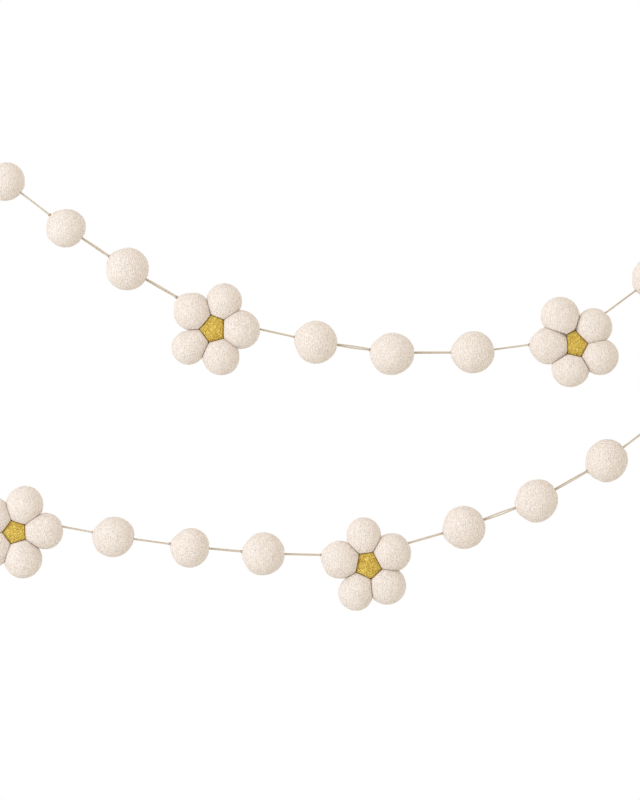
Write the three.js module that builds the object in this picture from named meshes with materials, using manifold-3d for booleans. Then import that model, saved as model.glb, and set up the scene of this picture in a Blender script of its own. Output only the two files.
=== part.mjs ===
// A garland of wool felt balls and pressed felt daisies on one doubled cotton cord.
// It hangs flat in two swags, and its cord turns back once at their right-hand end.
// Millimetres: +X runs along the swags, +Y away from the viewer, +Z up.
// The origin is the bend of the upper hanging loop, from which it hangs.
import * as THREE from 'three';
import { mergeVertices } from 'three/addons/utils/BufferGeometryUtils.js';
import Module from 'manifold-3d';

// The cord, its stop knots and its two hanging loops
const CORD_DIAMETER = 1.7;
const CORD_SIDES = 8;
const STOP_KNOT = { along: 2.4, across: 2.1 };
const LOOP_KNOT = { along: 4.6, across: 3.8 };
const LOOP_LENGTH = 20.9;
const LOOP_BEND = 3.5;

// The felt
const GAP = 0.3;
const LUMP = 0.25;
const BALL_DETAIL = 3;
const PETAL_DETAIL = 2;
const PETAL_PRESS = 2.2;
const BUTTON_WIDTH = 23;
const BUTTON_DEPTH = 11.4;

const CREAM = { color: 0xe9dece, roughness: 0.95, metalness: 0 };
const MUSTARD = { color: 0xd0ae52, roughness: 0.95, metalness: 0 };
const COTTON = { color: 0xd8ccb8, roughness: 0.9, metalness: 0 };

// Each ball: its centre, its longest and shortest width, and the lean of the long one in degrees.
const BALLS = [
  { name: 'ball_01', x: 30.7, z: -25.2, long: 22.9, short: 22.3, lean: 30 },
  { name: 'ball_02', x: 65.8, z: -52.3, long: 23.6, short: 22.0, lean: 25 },
  { name: 'ball_03', x: 101.4, z: -75.9, long: 25.0, short: 24.8, lean: 41 },
  { name: 'ball_04', x: 210.8, z: -118.4, long: 25.1, short: 24.8, lean: 125 },
  { name: 'ball_05', x: 255.0, z: -125.2, long: 25.6, short: 24.4, lean: 17 },
  { name: 'ball_06', x: 301.8, z: -124.4, long: 25.3, short: 24.1, lean: 18 },
  { name: 'ball_07', x: 406.0, z: -81.0, long: 24.3, short: 24.1, lean: 0 },
  { name: 'ball_08', x: 440.2, z: -91.0, long: 23.8, short: 23.2, lean: 60 },
  { name: 'ball_09', x: 464.3, z: -106.2, long: 23.8, short: 23.4, lean: 120 },
  { name: 'ball_10', x: 379.4, z: -187.2, long: 25.3, short: 24.2, lean: 48 },
  { name: 'ball_11', x: 338.8, z: -210.5, long: 25.4, short: 24.5, lean: 47 },
  { name: 'ball_12', x: 296.7, z: -226.0, long: 25.0, short: 24.7, lean: 158 },
  { name: 'ball_13', x: 180.4, z: -241.3, long: 25.0, short: 24.8, lean: 44 },
  { name: 'ball_14', x: 137.8, z: -237.7, long: 23.5, short: 22.1, lean: 51 },
  { name: 'ball_15', x: 93.4, z: -231.4, long: 24.7, short: 23.1, lean: 29 },
];

// Each daisy: its centre, and for its five petals the direction in degrees, the reach of the
// petal's own centre, its free radius, and how far off the wall is where it meets the middle.
const DAISIES = [
  { name: 'daisy_1', x: 151.4, z: -110.8, turns: [69, 140, 217, 285, 359],
    reaches: [17.4, 16.4, 18.2, 16.5, 15.6], radii: [10.3, 10.9, 9.8, 10.9, 11.3],
    walls: [7.1, 6.1, 6.6, 7.0, 6.1] },
  { name: 'daisy_2', x: 361.5, z: -119.7, turns: [44, 119, 183, 258, 333],
    reaches: [14.6, 18.7, 16.3, 14.1, 15.9], radii: [10.6, 11.2, 10.6, 11.1, 10.7],
    walls: [5.2, 7.6, 5.1, 6.6, 6.0] },
  { name: 'daisy_3', x: 431.5, z: -156.8, turns: [56, 128, 200, 272, 344],
    reaches: [16.6, 16.4, 16.8, 16.5, 16.7], radii: [10.8, 10.9, 10.6, 10.9, 10.8],
    walls: [6.3, 6.2, 6.4, 6.2, 6.3] },
  { name: 'daisy_4', x: 241.1, z: -247.8, turns: [28, 98, 169, 246, 313],
    reaches: [15.5, 17.5, 16.7, 17.7, 16.3], radii: [11.3, 10.2, 10.9, 10.2, 11.0],
    walls: [6.1, 7.3, 6.3, 6.5, 7.1] },
  { name: 'daisy_5', x: 36.5, z: -228.6, turns: [71, 144, 216, 286, 362],
    reaches: [17.0, 16.6, 16.7, 16.2, 17.2], radii: [10.7, 10.8, 10.8, 11.1, 10.5],
    walls: [5.9, 5.8, 5.8, 5.8, 6.0] },
];

// The cord's route from loop knot to loop knot. A stop knot sits before a ball or a daisy (knot -1)
// or after it (knot 1), at the distance given from the route's point.
const ROUTE = [
  { at: 'upper loop knot', x: 16.3, z: -13.0 },
  { at: 'ball_01', x: 30.7, z: -24.9, knot: -1, off: 11.5 },
  { at: 'ball_02', x: 65.8, z: -51.8, knot: -1, off: 11.5 },
  { at: 'ball_03', x: 101.4, z: -75.7, knot: -1, off: 12.6 },
  { at: 'daisy_1 in', x: 131.0, z: -92.8, knot: -1, off: 1.0 },
  { at: 'daisy_1 out', x: 177.8, z: -110.8 },
  { at: 'ball_04', x: 210.8, z: -118.2, knot: -1, off: 12.5 },
  { at: 'ball_05', x: 255.0, z: -124.6, knot: -1, off: 12.7 },
  { at: 'ball_06', x: 301.8, z: -124.4, knot: -1, off: 12.6 },
  { at: 'daisy_2 in', x: 335.5, z: -119.8, knot: -1, off: 1.0 },
  { at: 'daisy_2 out', x: 378.9, z: -101.4 },
  { at: 'ball_07', x: 406.4, z: -81.0, knot: -1, off: 12.2 },
  { at: 'first bend, rising', x: 418.1, z: -71.1 },
  { at: 'first bend, top', x: 420.4, z: -70.4 },
  { at: 'first bend, falling', x: 422.7, z: -71.5 },
  { at: 'ball_08', x: 440.2, z: -90.5, knot: -1, off: 11.8 },
  { at: 'second bend, rising', x: 469.0, z: -87.6 },
  { at: 'second bend, upper', x: 471.4, z: -88.3 },
  { at: 'second bend, lower', x: 472.8, z: -90.4 },
  { at: 'second bend, falling', x: 472.2, z: -92.9 },
  { at: 'ball_09', x: 464.3, z: -105.6, knot: 1, off: 11.9 },
  { at: 'daisy_3 in', x: 443.2, z: -132.5 },
  { at: 'daisy_3 out', x: 406.0, z: -166.6, knot: 1, off: 1.0 },
  { at: 'ball_10', x: 379.4, z: -186.9, knot: 1, off: 12.5 },
  { at: 'ball_11', x: 338.8, z: -210.0, knot: 1, off: 12.6 },
  { at: 'ball_12', x: 296.7, z: -225.7, knot: 1, off: 12.5 },
  { at: 'daisy_4 in', x: 264.4, z: -235.0 },
  { at: 'daisy_4 out', x: 214.9, z: -241.9, knot: 1, off: 1.0 },
  { at: 'ball_13', x: 180.4, z: -241.0, knot: 1, off: 12.5 },
  { at: 'ball_14', x: 137.8, z: -237.1, knot: 1, off: 11.6 },
  { at: 'ball_15', x: 93.4, z: -231.0, knot: 1, off: 12.1 },
  { at: 'daisy_5 in', x: 63.8, z: -225.4 },
  { at: 'daisy_5 out', x: 17.2, z: -209.9, knot: 1, off: 1.0 },
  { at: 'lower loop knot', x: 10.0, z: -206.0 },
];

const wasm = await Module();
wasm.setup();

function solidOf(geometry) {
  const bare = geometry.clone();
  bare.deleteAttribute('normal');
  bare.deleteAttribute('uv');
  const merged = mergeVertices(bare, 1e-4);
  return new wasm.Manifold(new wasm.Mesh({
    numProp: 3,
    vertProperties: new Float32Array(merged.attributes.position.array),
    triVerts: new Uint32Array(merged.index.array),
  }));
}

function geometryOf(solid) {
  const mesh = solid.getMesh();
  const geometry = new THREE.BufferGeometry();
  geometry.setAttribute('position', new THREE.BufferAttribute(mesh.vertProperties, 3));
  geometry.setIndex(new THREE.BufferAttribute(mesh.triVerts, 1));
  geometry.computeVertexNormals();
  return geometry;
}

const inPlane = (x, z) => new THREE.Vector3(x, 0, z);

// A path with one step from each of its points to the next: the runs are taut and the bends are short.
class CordPath extends THREE.CatmullRomCurve3 {
  getUtoTmapping(share) {
    return share;
  }
}

// A tube whose section has one of its flat sides toward the viewer.
function cordTube(points, diameter) {
  const section = new THREE.Shape();
  for (let side = 0; side < CORD_SIDES; side += 1) {
    const turn = (2 * Math.PI * (side + 0.5)) / CORD_SIDES;
    const corner = [0.5 * diameter * Math.cos(turn), 0.5 * diameter * Math.sin(turn)];
    if (side === 0) section.moveTo(...corner);
    else section.lineTo(...corner);
  }
  return solidOf(new THREE.ExtrudeGeometry(section, {
    steps: points.length - 1,
    extrudePath: new CordPath(points, false, 'centripetal'),
  }));
}

// A knot is a short bead turned along the cord.
function knot(place, direction, size, room) {
  const bead = new THREE.IcosahedronGeometry(0.5, 0);
  bead.scale(size.along + room, size.across + room, size.across + room);
  bead.rotateY(-Math.atan2(direction.z, direction.x));
  bead.translate(place.x, place.y, place.z);
  return solidOf(bead);
}

// A hanging loop: two straight sides from its knot, and the half round by which it hangs.
function loopPoints(knotPlace, outward) {
  const side = inPlane(-outward.z, outward.x);
  const bendCentre = LOOP_LENGTH - LOOP_BEND;
  const spots = [[0, 0], [0.5 * bendCentre, 0.6 * LOOP_BEND]];
  for (const turn of [-75, -40, 0, 40, 75]) {
    const angle = THREE.MathUtils.degToRad(turn);
    spots.push([bendCentre + LOOP_BEND * Math.cos(angle), -LOOP_BEND * Math.sin(angle)]);
  }
  spots.push([0.5 * bendCentre, -0.6 * LOOP_BEND], [0, 0]);
  return spots.map(([along, across]) => knotPlace.clone()
    .addScaledVector(outward, along).addScaledVector(side, across));
}

// The whole cord with its knots and loops, or with some room added all round it.
function cordSolid(room) {
  const points = ROUTE.map((row) => inPlane(row.x, row.z));
  const diameter = CORD_DIAMETER + room;
  let cord = cordTube(points, diameter);
  ROUTE.forEach((row, index) => {
    if (!row.knot) return;
    const towards = points[index + row.knot].clone().sub(points[index]).normalize();
    const place = points[index].clone().addScaledVector(towards, row.off);
    cord = cord.add(knot(place, towards, STOP_KNOT, room));
  });
  for (const [end, before] of [[points[0], points[1]], [points.at(-1), points.at(-2)]]) {
    const outward = end.clone().sub(before).normalize();
    cord = cord.add(cordTube(loopPoints(end, outward), diameter));
    cord = cord.add(knot(end, outward, LOOP_KNOT, room));
  }
  return cord;
}

// Hand-rolled felt is never quite round: three slow waves push its surface in and out.
function makeLumpy(geometry, seed) {
  const places = geometry.attributes.position;
  const point = new THREE.Vector3();
  for (let index = 0; index < places.count; index += 1) {
    point.fromBufferAttribute(places, index);
    const way = point.clone().normalize();
    const wave = Math.sin(3.1 * way.x + 1.7 * way.y + seed)
      + Math.sin(3.4 * way.z - 2.2 * way.x + 2 * seed)
      + Math.sin(2.9 * way.y + 2.6 * way.z + 3 * seed);
    point.addScaledVector(way, (LUMP * wave) / 3);
    places.setXYZ(index, point.x, point.y, point.z);
  }
}

function ball(row, seed) {
  const felt = new THREE.IcosahedronGeometry(0.5, BALL_DETAIL);
  felt.scale(row.long, 0.5 * (row.long + row.short), row.short);
  makeLumpy(felt, seed);
  felt.rotateY(-THREE.MathUtils.degToRad(row.lean));
  felt.translate(row.x, 0, row.z);
  return solidOf(felt);
}

// Keeps the part of a flat outline where direction . point is at most limit.
function keepWithin(outline, direction, limit) {
  const kept = [];
  outline.forEach((point, index) => {
    const next = outline[(index + 1) % outline.length];
    const here = direction.dot(point) - limit;
    const there = direction.dot(next) - limit;
    if (here <= 0) kept.push(point);
    if (here * there < 0) kept.push(point.clone().lerp(next, here / (here - there)));
  });
  return kept;
}

// The outline raised along Y to both sides of the plane of the garland.
function prism(outline, depth) {
  const block = new THREE.ExtrudeGeometry(new THREE.Shape(outline), { depth, bevelEnabled: false });
  block.translate(0, 0, -0.5 * depth);
  block.rotateX(0.5 * Math.PI);
  return solidOf(block);
}

// Where two neighbouring petals meet: on the line from the button's corner between them to the
// place where their free outlines cross. It faces from the one to the other.
function seamBetween(row, ways, one, other) {
  const [first, second] = [ways[one], ways[other]];
  const corner = new THREE.Vector2(
    row.walls[one] * second.y - row.walls[other] * first.y,
    row.walls[other] * first.x - row.walls[one] * second.x,
  ).divideScalar(first.cross(second));
  const middle = first.clone().multiplyScalar(row.reaches[one]);
  const step = second.clone().multiplyScalar(row.reaches[other]).sub(middle);
  const apart = step.length();
  const along = (apart ** 2 + row.radii[one] ** 2 - row.radii[other] ** 2) / (2 * apart);
  const rise = Math.sqrt(Math.max(row.radii[one] ** 2 - along ** 2, 0));
  step.normalize();
  const outward = new THREE.Vector2(-step.y, step.x);
  if (outward.dot(first) < 0) outward.negate();
  const crossing = middle.addScaledVector(step, along).addScaledVector(outward, rise);
  const seam = crossing.sub(corner).normalize();
  const facing = new THREE.Vector2(-seam.y, seam.x);
  if (facing.dot(step) < 0) facing.negate();
  return { facing, limit: facing.dot(corner) };
}

// Five balls pressed together round a button: flat where they meet, round where they are free.
function daisyPieces(row, seed) {
  const ways = row.turns.map((turn) => {
    const angle = THREE.MathUtils.degToRad(turn);
    return new THREE.Vector2(Math.cos(angle), Math.sin(angle));
  });
  const span = 2 * BUTTON_WIDTH;
  const square = [[-span, -span], [span, -span], [span, span], [-span, span]]
    .map(([x, z]) => new THREE.Vector2(x, z));

  const pieces = ways.map((way, index) => {
    let cell = keepWithin(square, way.clone().negate(), -row.walls[index] - 0.5 * GAP);
    for (const near of [(index + 1) % 5, (index + 4) % 5]) {
      const { facing, limit } = seamBetween(row, ways, index, near);
      cell = keepWithin(cell, facing, limit - 0.5 * GAP);
    }
    const felt = new THREE.IcosahedronGeometry(row.radii[index], PETAL_DETAIL);
    const inward = (row.reaches[index] - row.walls[index] + PETAL_PRESS) / row.radii[index];
    const places = felt.attributes.position;
    for (let point = 0; point < places.count; point += 1) {
      const along = places.getX(point);
      places.setX(point, along < 0 ? along * inward : along);
    }
    makeLumpy(felt, seed + index);
    felt.translate(row.reaches[index], 0, 0);
    felt.rotateY(-way.angle());
    const solid = solidOf(felt).intersect(prism(cell, span));
    return { name: `${row.name}_petal_${index + 1}`, solid, look: CREAM };
  });

  let pentagon = square;
  ways.forEach((way, index) => {
    pentagon = keepWithin(pentagon, way, row.walls[index] - 0.5 * GAP);
  });
  const pillow = new THREE.IcosahedronGeometry(0.5, PETAL_DETAIL);
  pillow.scale(BUTTON_WIDTH, BUTTON_DEPTH, BUTTON_WIDTH);
  const solid = solidOf(pillow).intersect(prism(pentagon, span));
  pieces.push({ name: `${row.name}_button`, solid, look: MUSTARD });
  return pieces;
}

function meshOf(name, solid, look) {
  const mesh = new THREE.Mesh(geometryOf(solid), new THREE.MeshStandardMaterial(look));
  mesh.name = name;
  return mesh;
}

const garland = new THREE.Group();
const cordRoom = cordSolid(2 * GAP);

garland.add(meshOf('cord', cordSolid(0), COTTON));

BALLS.forEach((row, index) => {
  garland.add(meshOf(row.name, ball(row, index + 1).subtract(cordRoom), CREAM));
});

DAISIES.forEach((row, index) => {
  const daisy = new THREE.Group();
  daisy.position.set(row.x, 0, row.z);
  const ownRoom = cordRoom.translate([-row.x, 0, -row.z]);
  for (const piece of daisyPieces(row, 5 * index + 20)) {
    daisy.add(meshOf(piece.name, piece.solid.subtract(ownRoom), piece.look));
  }
  garland.add(daisy);
});

export default garland;
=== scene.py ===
# A garland of cream wool felt balls and pressed felt daisies on a doubled cotton cord.
# It hangs flat in two swags, with a knotted hanging loop at each end of the cord.
import math

import bpy
import numpy as np
from mathutils import Matrix, Vector


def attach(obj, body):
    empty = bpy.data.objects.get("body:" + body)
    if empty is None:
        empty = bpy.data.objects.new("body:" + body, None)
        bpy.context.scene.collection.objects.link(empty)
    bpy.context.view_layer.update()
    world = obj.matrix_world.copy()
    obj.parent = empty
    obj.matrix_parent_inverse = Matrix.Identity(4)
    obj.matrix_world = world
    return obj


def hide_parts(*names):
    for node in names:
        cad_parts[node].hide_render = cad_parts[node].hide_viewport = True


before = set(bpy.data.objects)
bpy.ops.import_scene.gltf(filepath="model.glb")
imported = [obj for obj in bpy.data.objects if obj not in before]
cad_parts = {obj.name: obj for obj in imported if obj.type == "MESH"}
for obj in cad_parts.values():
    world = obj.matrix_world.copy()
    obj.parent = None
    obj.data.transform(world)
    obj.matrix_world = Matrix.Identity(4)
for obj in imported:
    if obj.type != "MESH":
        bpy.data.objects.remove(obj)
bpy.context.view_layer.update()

# The view. The camera stands level and square in front of the garland, far off behind a long
# lens. Its frame runs from just inside the left end to a little short of the right-hand turn.
VIEW_CENTRE_X = 0.2132
VIEW_CENTRE_Z = -0.152
VIEW_HEIGHT = 0.464
VIEW_DISTANCE = 2.5
SENSOR_HEIGHT = 24
bpy.ops.object.select_all(action="DESELECT")
bpy.ops.object.camera_add(location=(VIEW_CENTRE_X, -VIEW_DISTANCE, VIEW_CENTRE_Z),
                          rotation=(math.pi / 2, 0, 0))
camera = bpy.context.object
camera.name = "front_camera"
camera.data.sensor_fit = "VERTICAL"
camera.data.sensor_height = SENSOR_HEIGHT
camera.data.lens = SENSOR_HEIGHT * VIEW_DISTANCE / VIEW_HEIGHT
bpy.context.scene.camera = camera

# The cord. It is one cotton thread laid double, with a knotted hanging loop at each end, and it
# runs through every ball and straight through three petals of each daisy. A stop knot sits at
# each of them. The thread is twisted of three plies, and its two runs lie loosely side by side.
THREAD_RADIUS = 0.00042
PLIES = 3
PLY_PITCH = 0.0030
RUN_PLY_BULGE = 0.12
KNOT_PLY_BULGE = 0.10
RING_STEP = 0.00045
RING_SIDES = 9
CORNER_EASING = 12
LOOP_LENGTH = 0.0209
LOOP_BEND = 0.0035

# How far each run is from the cord's middle at the felt, and how far from the felt it is free of
# the other. Then the knots: length and width, how much thicker the thread of a loop's knot is
# laid, and how the knots are shaped, turned and darkened with painted shade.
TOUCHING = 0.00041
PARTING = 0.008
STOP_KNOT = (0.0024, 0.0021)
LOOP_KNOT = (0.0046, 0.0038)
LOOP_KNOT_THREAD = 1.25
KNOT_POINTS = 54
KNOT_TILT = 0.6
KNOT_TURN = 1.3
KNOT_SHADE = 0.6

# Each point of the cord's route: x, z, how far the felt reaches from it, the side of its stop
# knot (-1 before, 1 after, 0 none) and how far off that knot is. Then, for the stretch that
# follows, how the two runs of thread lie (0 degrees side by side, 90 one behind the other), and
# how far each is from the cord's middle in mid-run.
FELT_REACH, KNOT_SIDE, KNOT_OFF, RUN_LEAN, RUN_APART = 2, 3, 4, 5, 6
ROUTE = [
    (0.0163, -0.0130, 0.002, 0, 0, 60, 0.00050),
    (0.0307, -0.0249, 0.0115, -1, 0.0115, 72, 0.00046),
    (0.0658, -0.0518, 0.0115, -1, 0.0115, 44, 0.00055),
    (0.1014, -0.0757, 0.0126, -1, 0.0126, 38, 0.00062),
    (0.1310, -0.0928, 0.001, -1, 0.0010, 60, 0.00050),
    (0.1778, -0.1108, 0.001, 0, 0, 72, 0.00052),
    (0.2108, -0.1182, 0.0126, -1, 0.0125, 6, 0.00056),
    (0.2550, -0.1246, 0.0126, -1, 0.0127, 52, 0.00046),
    (0.3018, -0.1244, 0.0126, -1, 0.0126, 78, 0.00046),
    (0.3355, -0.1198, 0.001, -1, 0.0010, 80, 0.00045),
    (0.3789, -0.1014, 0.001, 0, 0, 70, 0.00043),
    (0.4064, -0.0810, 0.0122, -1, 0.0122, 70, 0.00045),
    (0.4181, -0.0711, 0.001, 0, 0, 60, 0.00043),
    (0.4204, -0.0704, 0.001, 0, 0, 60, 0.00043),
    (0.4227, -0.0715, 0.001, 0, 0, 55, 0.00050),
    (0.4402, -0.0905, 0.0118, -1, 0.0118, 60, 0.00050),
    (0.4690, -0.0876, 0.001, 0, 0, 60, 0.00043),
    (0.4714, -0.0883, 0.001, 0, 0, 60, 0.00043),
    (0.4728, -0.0904, 0.001, 0, 0, 60, 0.00043),
    (0.4722, -0.0929, 0.001, 0, 0, 55, 0.00045),
    (0.4643, -0.1056, 0.0119, 1, 0.0119, 40, 0.00050),
    (0.4432, -0.1325, 0.001, 0, 0, 60, 0.00050),
    (0.4060, -0.1666, 0.001, 1, 0.0010, 66, 0.00046),
    (0.3794, -0.1869, 0.0125, 1, 0.0125, 28, 0.00052),
    (0.3388, -0.2100, 0.0126, 1, 0.0126, -8, 0.00062),
    (0.2967, -0.2257, 0.0125, 1, 0.0125, 58, 0.00048),
    (0.2644, -0.2350, 0.001, 0, 0, 60, 0.00046),
    (0.2149, -0.2419, 0.001, 1, 0.0010, 64, 0.00048),
    (0.1804, -0.2410, 0.0126, 1, 0.0125, 56, 0.00046),
    (0.1378, -0.2371, 0.0115, 1, 0.0116, 76, 0.00046),
    (0.0934, -0.2310, 0.0121, 1, 0.0121, 76, 0.00046),
    (0.0638, -0.2254, 0.001, 0, 0, 60, 0.00045),
    (0.0172, -0.2099, 0.001, 1, 0.0010, 60, 0.00045),
    (0.0100, -0.2060, 0.002, 0, 0, 60, 0.00045),
]
route = [np.array((row[0], 0.0, row[1])) for row in ROUTE]


def toward(start, end):
    return (end - start) / np.linalg.norm(end - start)


def loop_points(knot_place, outward):
    """A hanging loop: out along one side, round the bend that rests on its pin, and back."""
    side = np.array((-outward[2], 0.0, outward[0]))
    bend_centre = LOOP_LENGTH - LOOP_BEND
    spots = [(0, 0), (0.5 * bend_centre, 0.6 * LOOP_BEND)]
    for turn in (-75, -40, 0, 40, 75):
        angle = math.radians(turn)
        spots.append((bend_centre + LOOP_BEND * math.cos(angle), -LOOP_BEND * math.sin(angle)))
    spots += [(0.5 * bend_centre, -0.6 * LOOP_BEND), (0, 0)]
    return [knot_place + along * outward + across * side for along, across in spots]


def evenly_spaced(points, step):
    """The same line with a point every step along it, and its corners eased."""
    points = np.array(points)
    reach = np.concatenate(([0], np.cumsum(np.linalg.norm(np.diff(points, axis=0), axis=1))))
    wanted = np.linspace(0, reach[-1], int(round(reach[-1] / step)) + 1)
    line = np.stack([np.interp(wanted, reach, points[:, axis]) for axis in range(3)], axis=1)
    for _ in range(CORNER_EASING):
        line[1:-1] = 0.25 * line[:-2] + 0.5 * line[1:-1] + 0.25 * line[2:]
    return line


upper_end = toward(route[1], route[0])
lower_end = toward(route[-2], route[-1])
whole_route = loop_points(route[0], upper_end) + route[1:-1] + loop_points(route[-1], lower_end)
cord_line = evenly_spaced(whole_route, RING_STEP)
along_cord = RING_STEP * np.arange(len(cord_line))


def thread_mesh(line, radius, bulge, closed=False):
    """Rings of one thread along a line, each turned on a little so that its plies twist. Bulge is
    how far each ply stands out, as a share of the radius."""
    line = np.array(line)
    count = len(line)
    ahead = np.roll(line, -1, axis=0) - np.roll(line, 1, axis=0)
    if not closed:
        ahead[0], ahead[-1] = line[1] - line[0], line[-1] - line[-2]
    ahead /= np.linalg.norm(ahead, axis=1)[:, None]
    first = np.cross(ahead, (0.0, 1.0, 0.0))
    first /= np.maximum(np.linalg.norm(first, axis=1), 1e-9)[:, None]
    second = np.cross(ahead, first)
    gone = np.concatenate(([0], np.cumsum(np.linalg.norm(np.diff(line, axis=0), axis=1))))
    corners = 2 * math.pi * np.arange(RING_SIDES) / RING_SIDES
    twist = 2 * math.pi * gone[:, None] / PLY_PITCH
    out = radius * (1 + bulge * np.cos(PLIES * (corners[None, :] - twist)))
    spots = (line[:, None, :]
             + (out * np.cos(corners))[:, :, None] * first[:, None, :]
             + (out * np.sin(corners))[:, :, None] * second[:, None, :])
    faces, twists = [], []
    for ring in range(count if closed else count - 1):
        here, there = ring * RING_SIDES, ((ring + 1) % count) * RING_SIDES
        for side in range(RING_SIDES):
            after = (side + 1) % RING_SIDES
            faces.append((here + side, there + side, there + after, here + after))
            u, v = gone[ring] / PLY_PITCH, side / RING_SIDES
            on = u + RING_STEP / PLY_PITCH
            wide = v + 1 / RING_SIDES
            twists += [(u, v), (on, v), (on, wide), (u, wide)]
    if not closed:
        faces.append(tuple(range(RING_SIDES)))
        faces.append(tuple(reversed(range((count - 1) * RING_SIDES, count * RING_SIDES))))
        twists += [(0, 0)] * (2 * RING_SIDES)
    return spots.reshape(-1, 3), faces, twists


def thread_lines():
    """The two runs of the thread: pressed together at the felt, a little apart in mid-run."""
    ahead = np.gradient(cord_line, axis=0)
    ahead /= np.linalg.norm(ahead, axis=1)[:, None]
    side = np.stack((-ahead[:, 2], 0 * ahead[:, 0], ahead[:, 0]), axis=1)
    free = np.full(len(cord_line), 1.0)
    for row, place in zip(ROUTE, route):
        away = np.linalg.norm(cord_line - place, axis=1) - row[FELT_REACH]
        free = np.minimum(free, away)
    stops = [along_cord[np.linalg.norm(cord_line - place, axis=1).argmin()] for place in route]
    mid_runs = 0.5 * (np.array(stops[:-1]) + np.array(stops[1:]))
    lean = np.radians(np.interp(along_cord, mid_runs, [row[RUN_LEAN] for row in ROUTE[:-1]]))
    open_by = np.interp(along_cord, mid_runs, [row[RUN_APART] for row in ROUTE[:-1]])
    apart = TOUCHING + (open_by - TOUCHING) * np.clip(free / PARTING, 0, 1)
    across = np.cos(lean)[:, None] * side + np.sin(lean)[:, None] * np.array((0.0, -1.0, 0.0))
    return cord_line + apart[:, None] * across, cord_line - apart[:, None] * across


def knot_line(place, ahead, size, turn):
    """An overhand knot pulled tight: the thread's own line, closed into itself."""
    t = np.linspace(0, 2 * math.pi, KNOT_POINTS, endpoint=False)
    shape = np.stack((np.sin(t) + 2 * np.sin(2 * t),
                      -np.sin(3 * t),
                      np.cos(t) - 2 * np.cos(2 * t)), axis=1)
    shape = shape @ np.array(Matrix.Rotation(turn, 3, "Y")) @ np.array(Matrix.Rotation(KNOT_TILT, 3, "X"))
    shape /= np.abs(shape).max(axis=0)
    side = np.array((-ahead[2], 0.0, ahead[0]))
    long = 0.5 * size[0] - THREAD_RADIUS
    short = 0.5 * size[1] - THREAD_RADIUS
    return (place + long * shape[:, :1] * ahead + short * shape[:, 2:] * side
            + short * shape[:, 1:2] * np.array((0.0, 1.0, 0.0)))


runs = [thread_mesh(line, THREAD_RADIUS, RUN_PLY_BULGE) for line in thread_lines()]
knots = []
for index, row in enumerate(ROUTE):
    if row[KNOT_SIDE]:
        ahead = toward(route[index], route[index + row[KNOT_SIDE]])
        ring = knot_line(route[index] + row[KNOT_OFF] * ahead, ahead, STOP_KNOT, KNOT_TURN * index)
        knots.append(thread_mesh(ring, THREAD_RADIUS, KNOT_PLY_BULGE, closed=True))
for place, ahead, turn in ((route[0], upper_end, 0.4), (route[-1], lower_end, 1.9)):
    for fold in (0, 1.2):
        ring = knot_line(place, ahead, LOOP_KNOT, turn + fold)
        knots.append(thread_mesh(ring, LOOP_KNOT_THREAD * THREAD_RADIUS, KNOT_PLY_BULGE, closed=True))

# The runs and the knots are one mesh. Its attribute "tied" is 1 on the knots, darkened as painted shade.
places, faces, twists, tied = [], [], [], []
for index, (spots, part_faces, part_twists) in enumerate(runs + knots):
    start = sum(len(part) for part in places)
    places.append(spots)
    tied += [float(index >= len(runs))] * len(spots)
    faces += [tuple(start + corner for corner in face) for face in part_faces]
    twists += part_twists
cord_skin = bpy.data.meshes.new("doubled_cord")
cord_skin.from_pydata(np.concatenate(places).tolist(), [], faces)
twist_map = cord_skin.uv_layers.new(name="thread_twist")
twist_map.data.foreach_set("uv", np.array(twists, dtype=np.float32).ravel())
cord_skin.attributes.new("tied", "FLOAT", "POINT").data.foreach_set("value", tied)
cord = bpy.data.objects.new("doubled_cord", cord_skin)
bpy.context.collection.objects.link(cord)
bpy.ops.object.select_all(action="DESELECT")
cord.select_set(True)
bpy.context.view_layer.objects.active = cord
bpy.ops.object.mode_set(mode="EDIT")
bpy.ops.mesh.select_all(action="SELECT")
bpy.ops.mesh.normals_make_consistent(inside=False)
bpy.ops.object.mode_set(mode="OBJECT")
bpy.ops.object.shade_smooth()


class Wire:
    """One socket of a material. Sums on it add Math nodes, and node() adds any other node."""

    def __init__(self, tree, socket=None):
        self.tree = tree
        self.socket = socket

    def node(self, kind, inputs=None, output=0, **settings):
        made = self.tree.nodes.new(kind)
        for name, value in settings.items():
            setattr(made, name, value)
        for key, value in (inputs or {}).items():
            if isinstance(value, Wire):
                self.tree.links.new(value.socket, made.inputs[key])
            else:
                made.inputs[key].default_value = value
        return Wire(self.tree, made.outputs[output])

    def sum(self, operation, first, second):
        return self.node("ShaderNodeMath", {0: first, 1: second}, operation=operation)

    def __add__(self, other):
        return self.sum("ADD", self, other)

    def __sub__(self, other):
        return self.sum("SUBTRACT", self, other)

    def __rsub__(self, other):
        return self.sum("SUBTRACT", other, self)

    def __mul__(self, other):
        return self.sum("MULTIPLY", self, other)

    def __pow__(self, other):
        return self.sum("POWER", self, other)

    __radd__ = __add__
    __rmul__ = __mul__


def new_finish(name, roughness, sheen):
    """A matte finish: the material, a wire to start from, and the shader with its even values."""
    material = bpy.data.materials.new(name)
    material.use_nodes = True
    shader = material.node_tree.nodes["Principled BSDF"]
    shader.inputs["Roughness"].default_value = roughness
    shader.inputs["Specular IOR Level"].default_value = 0.15
    shader.inputs["Sheen Weight"].default_value = sheen
    shader.inputs["Sheen Roughness"].default_value = 0.5
    return material, Wire(material.node_tree), shader


def blend_colours(wire, factor, first, second):
    return wire.node("ShaderNodeMix", {0: factor, 6: first, 7: second}, 2, data_type="RGBA")


def plain_colour(red, green, blue):
    """A colour as the eye sees it, 0 to 255, turned into the light that it sends back."""
    parts = [value / 255 for value in (red, green, blue)]
    return [((v + 0.055) / 1.055) ** 2.4 if v > 0.04045 else v / 12.92 for v in parts] + [1.0]


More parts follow.
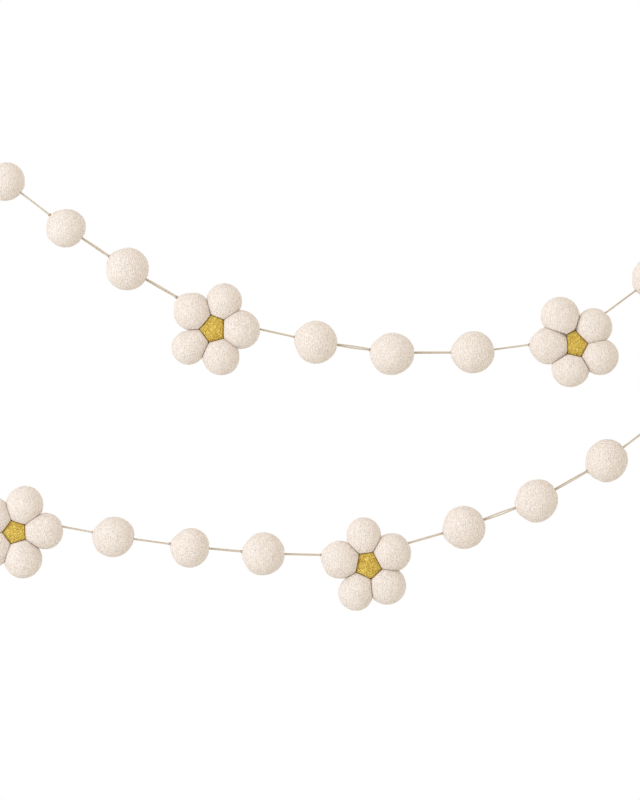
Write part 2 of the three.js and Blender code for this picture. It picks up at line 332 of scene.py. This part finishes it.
cotton, wire, shader = new_finish("unbleached_cotton_thread", roughness=0.85, sheen=0.15)
twist_place = wire.node("ShaderNodeTexCoord", output="UV")
along_thread = wire.node("ShaderNodeSeparateXYZ", {0: twist_place})
round_thread = wire.node("ShaderNodeSeparateXYZ", {0: twist_place}, 1)
ply_angle = (round_thread - along_thread) * (2 * math.pi * PLIES)
ply = wire.node("ShaderNodeMath", {0: ply_angle}, operation="COSINE") * 0.5 + 0.5
here = wire.node("ShaderNodeTexCoord", output="Object")
patches = wire.node("ShaderNodeTexNoise", {"Vector": here, "Scale": 160.0, "Detail": 2.0})
hairs = wire.node("ShaderNodeTexNoise", {"Vector": here, "Scale": 5200.0, "Detail": 2.0})
worn = blend_colours(wire, patches, plain_colour(226, 215, 195), plain_colour(249, 242, 229))
# Painted shade: the grooves between the plies are mixed toward a dark brown.
groove_shade = (1 - ply) ** 1.3
twisted = blend_colours(wire, groove_shade, worn, plain_colour(156, 135, 102))
# Painted shade: the knots, where "tied" is 1, are mixed toward a darker brown.
knotted = wire.node("ShaderNodeAttribute", output="Fac", attribute_name="tied")
colour = blend_colours(wire, knotted * KNOT_SHADE, twisted, plain_colour(164, 134, 104))
wire.tree.links.new(colour.socket, shader.inputs["Base Color"])
height = ply * 0.8 + hairs * 0.5
relief = wire.node("ShaderNodeBump", {"Height": height, "Distance": 0.00012, "Strength": 0.8})
wire.tree.links.new(relief.socket, shader.inputs["Normal"])
cord_skin.materials.append(cotton)

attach(cord, "root")
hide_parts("cord")

# The felt balls. Each is a lump of wool tops rolled wet in the hands until it felts: never quite
# round, finely crinkled all over, and pierced once by the cord, which draws in its skin there.
FELT_ROUND = 0.0250
BALL_CUTS = 31
LUMP = 0.00025
DIMPLE = 0.00014
CRINKLE = 0.00015

# Where the cord goes through, the felt is drawn in: how wide, how deep, and how dark its painted shade
# is.
# Round a stop knot it comes to a blunt point, and a ring of it further off is flatter.
PULL_WIDTH = 0.0026
PULL_DEPTH = 0.0011
HOLE_SHADE_TONE = 0.6
POINT_WIDTH = 0.0032
POINT_HEIGHT = 0.0006
SHOULDER_OFF = 0.0078
SHOULDER_WIDTH = 0.0030
SHOULDER_DEPTH = 0.00045

# Each ball: its centre's x and z, its longest and shortest width, and the lean of the long one.
BALLS = [
    ("ball_01", 0.0307, -0.0252, 0.0229, 0.0223, 30),
    ("ball_02", 0.0658, -0.0523, 0.0236, 0.0220, 25),
    ("ball_03", 0.1014, -0.0759, 0.0250, 0.0248, 41),
    ("ball_04", 0.2108, -0.1184, 0.0251, 0.0248, 125),
    ("ball_05", 0.2550, -0.1252, 0.0256, 0.0244, 17),
    ("ball_06", 0.3018, -0.1244, 0.0253, 0.0241, 18),
    ("ball_07", 0.4060, -0.0810, 0.0243, 0.0241, 0),
    ("ball_08", 0.4402, -0.0910, 0.0238, 0.0232, 60),
    ("ball_09", 0.4643, -0.1062, 0.0238, 0.0234, 120),
    ("ball_10", 0.3794, -0.1872, 0.0253, 0.0242, 48),
    ("ball_11", 0.3388, -0.2105, 0.0254, 0.0245, 47),
    ("ball_12", 0.2967, -0.2260, 0.0250, 0.0247, 158),
    ("ball_13", 0.1804, -0.2413, 0.0250, 0.0248, 44),
    ("ball_14", 0.1378, -0.2377, 0.0235, 0.0221, 51),
    ("ball_15", 0.0934, -0.2314, 0.0247, 0.0231, 29),
]

bpy.ops.object.select_all(action="DESELECT")
bpy.ops.mesh.primitive_cube_add(size=FELT_ROUND)
rolled_ball = bpy.context.object
rolled_ball.name = "rolled_ball"
bpy.ops.object.mode_set(mode="EDIT")
bpy.ops.mesh.select_all(action="SELECT")
bpy.ops.mesh.subdivide(number_cuts=BALL_CUTS)
bpy.ops.transform.tosphere(value=1.0)
bpy.ops.object.mode_set(mode="OBJECT")
bpy.ops.object.shade_smooth()
round_spots = np.zeros(3 * len(rolled_ball.data.vertices))
rolled_ball.data.vertices.foreach_get("co", round_spots)
round_spots = round_spots.reshape(-1, 3)
round_spots *= 0.5 * FELT_ROUND / np.linalg.norm(round_spots, axis=1)[:, None]
rolled_ball.data.vertices.foreach_set("co", round_spots.ravel())

dimples = bpy.data.textures.new("soft_dimples", "CLOUDS")
dimples.noise_scale = 0.0042
dimples.noise_depth = 1
crinkles = bpy.data.textures.new("felted_crinkles", "MUSGRAVE")
crinkles.musgrave_type = "RIDGED_MULTIFRACTAL"
crinkles.noise_scale = 0.0021
crinkles.octaves = 2
for texture, strength in ((dimples, DIMPLE), (crinkles, CRINKLE)):
    push = rolled_ball.modifiers.new(texture.name, "DISPLACE")
    push.texture = texture
    push.texture_coords = "LOCAL"
    push.strength = strength
    push.mid_level = 0.5
    bpy.ops.object.modifier_apply(modifier=push.name)


def felt_points(piece):
    spots = np.zeros(3 * len(piece.data.vertices))
    piece.data.vertices.foreach_get("co", spots)
    return spots.reshape(-1, 3)


def another_ball(name, seed):
    """A copy of the rolled ball with its own mesh, turned another way so that no two look alike.
    Returns the piece, the way to each of its points, and how far its skin is off a round ball."""
    bpy.ops.object.select_all(action="DESELECT")
    rolled_ball.select_set(True)
    bpy.context.view_layer.objects.active = rolled_ball
    bpy.ops.object.duplicate()
    piece = bpy.context.object
    piece.name = name
    piece.data.name = name
    turn = Matrix.Rotation(2.4 * seed, 3, "Z") @ Matrix.Rotation(1.7 * seed + 0.5, 3, "X")
    spots = felt_points(piece) @ np.array(turn).T
    ways = spots / np.linalg.norm(spots, axis=1)[:, None]
    skin = np.linalg.norm(spots, axis=1) - 0.5 * FELT_ROUND
    return piece, ways, skin - skin.mean()


def lumps(ways, seed):
    """Hand-rolled felt is never quite round: three slow waves push its surface in and out."""
    x, y, z = ways.T
    wave = (np.sin(3.1 * x + 1.7 * y + seed) + np.sin(3.4 * z - 2.2 * x + 2 * seed)
            + np.sin(2.9 * y + 2.6 * z + 3 * seed))
    return LUMP * wave / 3


def turned(spots, degrees):
    """Turned in the plane of the garland, from +X toward +Z."""
    angle = math.radians(degrees)
    x, y, z = spots.T
    return np.stack((x * math.cos(angle) - z * math.sin(angle), y,
                     x * math.sin(angle) + z * math.cos(angle)), axis=1)


def drawn_in(spots, middle, holes):
    """The cord pulls the felt in where it goes through the skin. On the side of its stop knot the
    ball is drawn to a blunt point round that, with flatter shoulders. Each hole is a place and
    whether the knot is there."""
    hole_shade = np.zeros(len(spots))
    for hole, knotted in holes:
        away = np.linalg.norm(spots - hole, axis=1)
        share = np.clip(1 - (away / PULL_WIDTH) ** 2, 0, 1) ** 2
        # Painted shade in the dip round each hole, darkest at its middle.
        hole_shade = hole_shade + HOLE_SHADE_TONE * share
        out = -PULL_DEPTH * share
        if knotted:
            out = out + POINT_HEIGHT * np.exp(-(away / POINT_WIDTH) ** 2)
            out = out - SHOULDER_DEPTH * np.exp(-((away - SHOULDER_OFF) / SHOULDER_WIDTH) ** 2)
        spots = spots + out[:, None] * toward(middle, hole)
    return spots, hole_shade


def finish_felt(piece, spots, painted_shade, material, slot, node):
    """Sets the piece's shape, keeps its painted shade along seams and round holes, hangs it on the root
    body and hides its solid.
    """
    piece.data.vertices.foreach_set("co", spots.astype(np.float32).ravel())
    # The attribute "pressed" carries painted shade: it darkens the felt along its seams and round the
    # cord's holes.
    kept = piece.data.attributes.new("pressed", "FLOAT", "POINT")
    kept.data.foreach_set("value", np.clip(painted_shade, 0, 1).astype(np.float32))
    piece.data.update()
    piece.data.materials.append(material)
    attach(piece, "root")
    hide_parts(node)


def felt_finish(name, light, dark, painted_shade_tone, rows, grain, blur):
    """Felted wool: broken rows of fine ridges that swirl, specks between them, and loose hairs.
    The rows sit low in the bump and are painted darker, painted shade in the grooves; the specks are
    darker where they sit low, partly dark fibres of their own and partly painted shade in the pits.
    Rows and grain are how dark the rows and the specks are, and blur how soft the specks are."""
    material, wire, shader = new_finish(name, roughness=0.95, sheen=0.0)
    here = wire.node("ShaderNodeTexCoord", output="Object")
    waves = wire.node("ShaderNodeTexWave", {"Vector": here, "Scale": 330.0, "Distortion": 14.0,
                                            "Detail": 2.0, "Detail Scale": 0.55}, "Fac")
    patches = wire.node("ShaderNodeTexNoise", {"Vector": here, "Scale": 1000.0, "Detail": 1.0})
    broken = wire.node("ShaderNodeMapRange", {0: patches, 1: 0.38, 2: 0.62, 3: 0.0, 4: 1.0})
    ridges = (1 - waves) * broken
    specks = wire.node("ShaderNodeTexNoise", {"Vector": here, "Scale": 1800.0, "Detail": 2.0})
    hairs = wire.node("ShaderNodeTexNoise", {"Vector": here, "Scale": 4200.0, "Detail": 2.0})
    height = 1 - ridges * 0.6 + specks * 0.9 + hairs * 0.4
    clouds = wire.node("ShaderNodeTexNoise", {"Vector": here, "Scale": 110.0, "Detail": 2.0})
    grains = wire.node("ShaderNodeMapRange", {0: specks, 1: 0.5 - blur, 2: 0.5 + blur, 3: 1.0, 4: 0.0})
    # Painted shade: the low rows and specks of the bump darken the colour.
    tone = ridges * rows + grains * grain + clouds * 0.12 + 0.09
    skin_colour = blend_colours(wire, tone, plain_colour(*light), plain_colour(*dark))
    # Painted shade: where "pressed" is high, the colour goes toward the dark last colour.
    crease_shade = wire.node("ShaderNodeAttribute", output="Fac", attribute_name="pressed")
    colour = blend_colours(wire, crease_shade * 0.8, skin_colour, plain_colour(*painted_shade_tone))
    wire.tree.links.new(colour.socket, shader.inputs["Base Color"])
    relief = wire.node("ShaderNodeBump", {"Height": height, "Distance": 0.00045, "Strength": 0.85})
    wire.tree.links.new(relief.socket, shader.inputs["Normal"])
    return material


# Its last colour is painted shade, for the seams and the dips round the cord.
cream_felt = felt_finish("cream_wool_felt", (250, 244, 238), (216, 201, 186), (176, 146, 112),
                         rows=0.46, grain=0.46, blur=0.30)

for index, (node, x, z, long, short, lean) in enumerate(BALLS):
    ball, ways, skin = another_ball("felt_" + node, index + 1)
    spots = ways * (0.5 * long, 0.25 * (long + short), 0.5 * short)
    spots = spots + (lumps(ways, index + 1) + skin)[:, None] * ways
    middle = np.array((x, 0.0, z))
    spots = turned(spots, lean) + middle
    nearest = min(range(len(route)), key=lambda step: np.linalg.norm(route[step] - middle))
    threaded = route[nearest]
    holes = []
    for way in (-1, 1):
        hole = threaded + 0.25 * (long + short) * toward(threaded, route[nearest + way])
        holes.append((hole, ROUTE[nearest][KNOT_SIDE] == way))
    finish_felt(ball, *drawn_in(spots, middle, holes), cream_felt, "cream_felt", node)

# The daisies. Five smaller balls are pressed together while wet, so that they are flat where
# they meet, round one mustard ball that the pressing turns into a low five-sided button. A point
# of the cord's route within HOLE_REACH radii of a petal's own centre is a hole in that petal.
MILLIMETRE = 0.001
PETALS = 5
PETAL_PRESS = 0.0022
BUTTON_WIDTH = 0.0230
BUTTON_DEPTH = 0.0114
SEAM = 0.00002
PETAL_EDGE = 0.012
BUTTON_EDGE = 0.030
HOLE_REACH = 1.25

# What the walls do to the felt, in shares of the way from its middle to the wall: where its
# painted shade starts, over how much, and where a second wall no longer counts. A petal's seams
# with its neighbours get less painted shade than its seam with the button, whose corners are
# filled out at mid-depth.
DARK_FROM = 1.035
DARK_OVER = 0.055
FAR_OFF = 9.0
SIDE_SEAM_TONE = 0.1
CORNER_FILL = 0.06
FILL_DEPTH = 0.0036
FILL_WIDTH = 0.05
FILL_PAST = 1.05

# Each daisy: its centre's x and z, and for its petals the direction in degrees, the reach of the
# petal's own centre, its free radius and how far off the wall is where it meets the middle, in
# millimetres. Last comes the route's point where the cord goes in.
DAISIES = [
    ("daisy_1", 0.1514, -0.1108, (69, 140, 217, 285, 359), (17.4, 16.4, 18.2, 16.5, 15.6),
     (10.3, 10.9, 9.8, 10.9, 11.3), (7.1, 6.1, 6.6, 7.0, 6.1), 4),
    ("daisy_2", 0.3615, -0.1197, (44, 119, 183, 258, 333), (14.6, 18.7, 16.3, 14.1, 15.9),
     (10.6, 11.2, 10.6, 11.1, 10.7), (5.2, 7.6, 5.1, 6.6, 6.0), 9),
    ("daisy_3", 0.4315, -0.1568, (56, 128, 200, 272, 344), (16.6, 16.4, 16.8, 16.5, 16.7),
     (10.8, 10.9, 10.6, 10.9, 10.8), (6.3, 6.2, 6.4, 6.2, 6.3), 21),
    ("daisy_4", 0.2411, -0.2478, (28, 98, 169, 246, 313), (15.5, 17.5, 16.7, 17.7, 16.3),
     (11.3, 10.2, 10.9, 10.2, 11.0), (6.1, 7.3, 6.3, 6.5, 7.1), 26),
    ("daisy_5", 0.0365, -0.2286, (71, 144, 216, 286, 362), (17.0, 16.6, 16.7, 16.2, 17.2),
     (10.7, 10.8, 10.8, 11.1, 10.5), (5.9, 5.8, 5.8, 5.8, 6.0), 31),
]


def pressed(spots, middle, walls, softness, fill, side_tone):
    """Draws the felt back toward its middle until it lies flat against each wall, its edges eased.
    Inside, it fills the corner between two walls. Returns how hard each place is pressed too,
    the first wall in full and the others by side_tone, which darkens the felt there as painted shade."""
    out = spots - middle
    shares = []
    for facing, limit in walls:
        reach = out @ facing
        room = limit - middle @ facing
        shares.append(np.where(reach > 1e-9, room / np.maximum(reach, 1e-9), FAR_OFF))
    weight = np.array([1.0] + [side_tone] * (len(walls) - 1))[:, None]
    painted_shade = (weight * np.clip((DARK_FROM - np.array(shares)) / DARK_OVER, 0, 1)).max(axis=0)
    shares = np.minimum(np.sort(np.array(shares), axis=0), FAR_OFF)
    all_shares = np.concatenate((shares, np.ones((1, len(out)))))
    share = np.minimum(-softness * np.log(np.exp(-all_shares / softness).sum(axis=0)), 1.0)
    deep = np.clip(1 - np.abs(share * out[:, 1]) / FILL_DEPTH, 0, 1)
    in_corner = np.exp(-(shares[1] - shares[0]) / FILL_WIDTH) * (shares[1] < FILL_PAST)
    share = share * (1 + fill * deep * in_corner)
    return middle + share[:, None] * out, painted_shade


def seam_between(facings, reaches, radii, edges, one, other):
    """Where two neighbouring petals meet: on the line from the button's corner between them to the
    place where their free outlines cross. It faces from the one to the other."""
    first, second = facings[one], facings[other]
    turn = first[0] * second[2] - first[2] * second[0]
    corner = np.array((edges[one] * second[2] - edges[other] * first[2], 0.0,
                       edges[other] * first[0] - edges[one] * second[0])) / turn
    step = toward(reaches[one] * first, reaches[other] * second)
    apart = np.linalg.norm(reaches[other] * second - reaches[one] * first)
    along = (apart ** 2 + radii[one] ** 2 - radii[other] ** 2) / (2 * apart)
    rise = math.sqrt(max(radii[one] ** 2 - along ** 2, 0))
    outward = np.array((-step[2], 0.0, step[0]))
    outward = outward * math.copysign(1, outward @ first)
    crossing = reaches[one] * first + along * step + rise * outward
    seam = toward(corner, crossing)
    facing = np.array((-seam[2], 0.0, seam[0]))
    facing = facing * math.copysign(1, facing @ step)
    return facing, facing @ corner


# Its last colour is painted shade, for the dark line round the button.
mustard_felt = felt_finish("mustard_wool_felt", (255, 242, 134), (184, 141, 47), (100, 74, 32),
                           rows=0.45, grain=0.92, blur=0.17)

for index, (daisy, x, z, turns, reaches, radii, edges, entry) in enumerate(DAISIES):
    centre = np.array((x, 0.0, z))
    angles = [math.radians(turn) for turn in turns]
    facings = [np.array((math.cos(angle), 0.0, math.sin(angle))) for angle in angles]
    middles = [MILLIMETRE * reach * facing for reach, facing in zip(reaches, facings)]
    for petal in range(PETALS):
        node = f"{daisy}_petal_{petal + 1}"
        seed = PETALS * index + 20 + petal
        piece, ways, skin = another_ball("felt_" + node, seed)
        radius = MILLIMETRE * radii[petal]
        inward = (MILLIMETRE * (reaches[petal] - edges[petal]) + PETAL_PRESS) / radius
        spots = radius * ways
        spots[:, 0] = np.where(spots[:, 0] < 0, spots[:, 0] * inward, spots[:, 0])
        ways = spots / np.linalg.norm(spots, axis=1)[:, None]
        spots = spots + (lumps(ways, seed) + skin)[:, None] * ways
        spots = turned(spots, turns[petal]) + middles[petal]
        walls = [(-facings[petal], -MILLIMETRE * edges[petal] - SEAM)]
        for near in ((petal + 1) % PETALS, (petal - 1) % PETALS):
            facing, limit = seam_between(facings, reaches, radii, edges, petal, near)
            walls.append((facing, MILLIMETRE * limit - SEAM))
        spots, painted_shade = pressed(spots, middles[petal], walls, PETAL_EDGE, 0, SIDE_SEAM_TONE)
        spots = spots + centre
        holes = []
        for way in (0, 1):
            hole = route[entry + way]
            if np.linalg.norm(hole - centre - middles[petal]) < HOLE_REACH * radius:
                holes.append((hole, ROUTE[entry + way][KNOT_SIDE] != 0))
        spots, hole_shade = drawn_in(spots, centre + middles[petal], holes)
        finish_felt(piece, spots, painted_shade + hole_shade, cream_felt, "cream_felt", node)

    button, ways, skin = another_ball(f"felt_{daisy}_button", 7 * index + 3)
    spots = ways * (0.5 * BUTTON_WIDTH, 0.5 * BUTTON_DEPTH, 0.5 * BUTTON_WIDTH) + skin[:, None] * ways
    walls = [(facing, MILLIMETRE * edge - SEAM) for facing, edge in zip(facings, edges)]
    spots, painted_shade = pressed(spots, np.zeros(3), walls, BUTTON_EDGE, CORNER_FILL, 1.0)
    finish_felt(button, spots + centre, painted_shade, mustard_felt, "mustard_felt", f"{daisy}_button")

bpy.data.objects.remove(rolled_ball)

# The stage: a plain pale floor well below the garland, and one soft light from the left and the
# front, a little above the garland, with an even pale surround.
FLOOR_CENTRE = (0.22, -2.4, -0.5)
FLOOR_SIZE = (10.0, 7.0, 1, 1)
bpy.ops.object.select_all(action="DESELECT")
bpy.ops.mesh.primitive_plane_add(size=1, location=(0, 0, 0))
floor = bpy.context.object
floor.name = "floor"
floor.data.transform(Matrix.Translation(FLOOR_CENTRE) @ Matrix.Diagonal(FLOOR_SIZE))
floor_paint, wire, shader = new_finish("pale_floor", roughness=0.8, sheen=0.0)
shader.inputs["Base Color"].default_value = plain_colour(238, 237, 234)
floor.data.materials.append(floor_paint)

LAMP_PLACE = Vector((-1.9, -1.9, 0.25))
LAMP_AIM = Vector((0.21, 0, -0.15))
bpy.ops.object.light_add(type="AREA", location=LAMP_PLACE)
lamp = bpy.context.object
lamp.name = "left_window"
lamp.rotation_euler = (LAMP_AIM - LAMP_PLACE).to_track_quat("-Z", "Y").to_euler()
lamp.data.shape = "DISK"
lamp.data.size = 1.6
lamp.data.energy = 32.2
lamp.data.color = (0.78, 0.84, 1.0)

surround = bpy.data.worlds.new("pale_surround")
surround.use_nodes = True
bpy.context.scene.world = surround
tree = surround.node_tree
backdrop = tree.nodes["Background"]
backdrop.inputs["Color"].default_value = (1.0, 1.0, 1.0, 1.0)
backdrop.inputs["Strength"].default_value = 1.0
fill = tree.nodes.new("ShaderNodeBackground")
fill.inputs["Color"].default_value = (1.0, 0.96, 0.90, 1.0)
fill.inputs["Strength"].default_value = 1.0
seen = tree.nodes.new("ShaderNodeLightPath")
either = tree.nodes.new("ShaderNodeMixShader")
tree.links.new(seen.outputs["Is Camera Ray"], either.inputs[0])
tree.links.new(fill.outputs[0], either.inputs[1])
tree.links.new(backdrop.outputs[0], either.inputs[2])
tree.links.new(either.outputs[0], tree.nodes["World Output"].inputs["Surface"])
bpy.context.scene.view_settings.view_transform = "Standard"
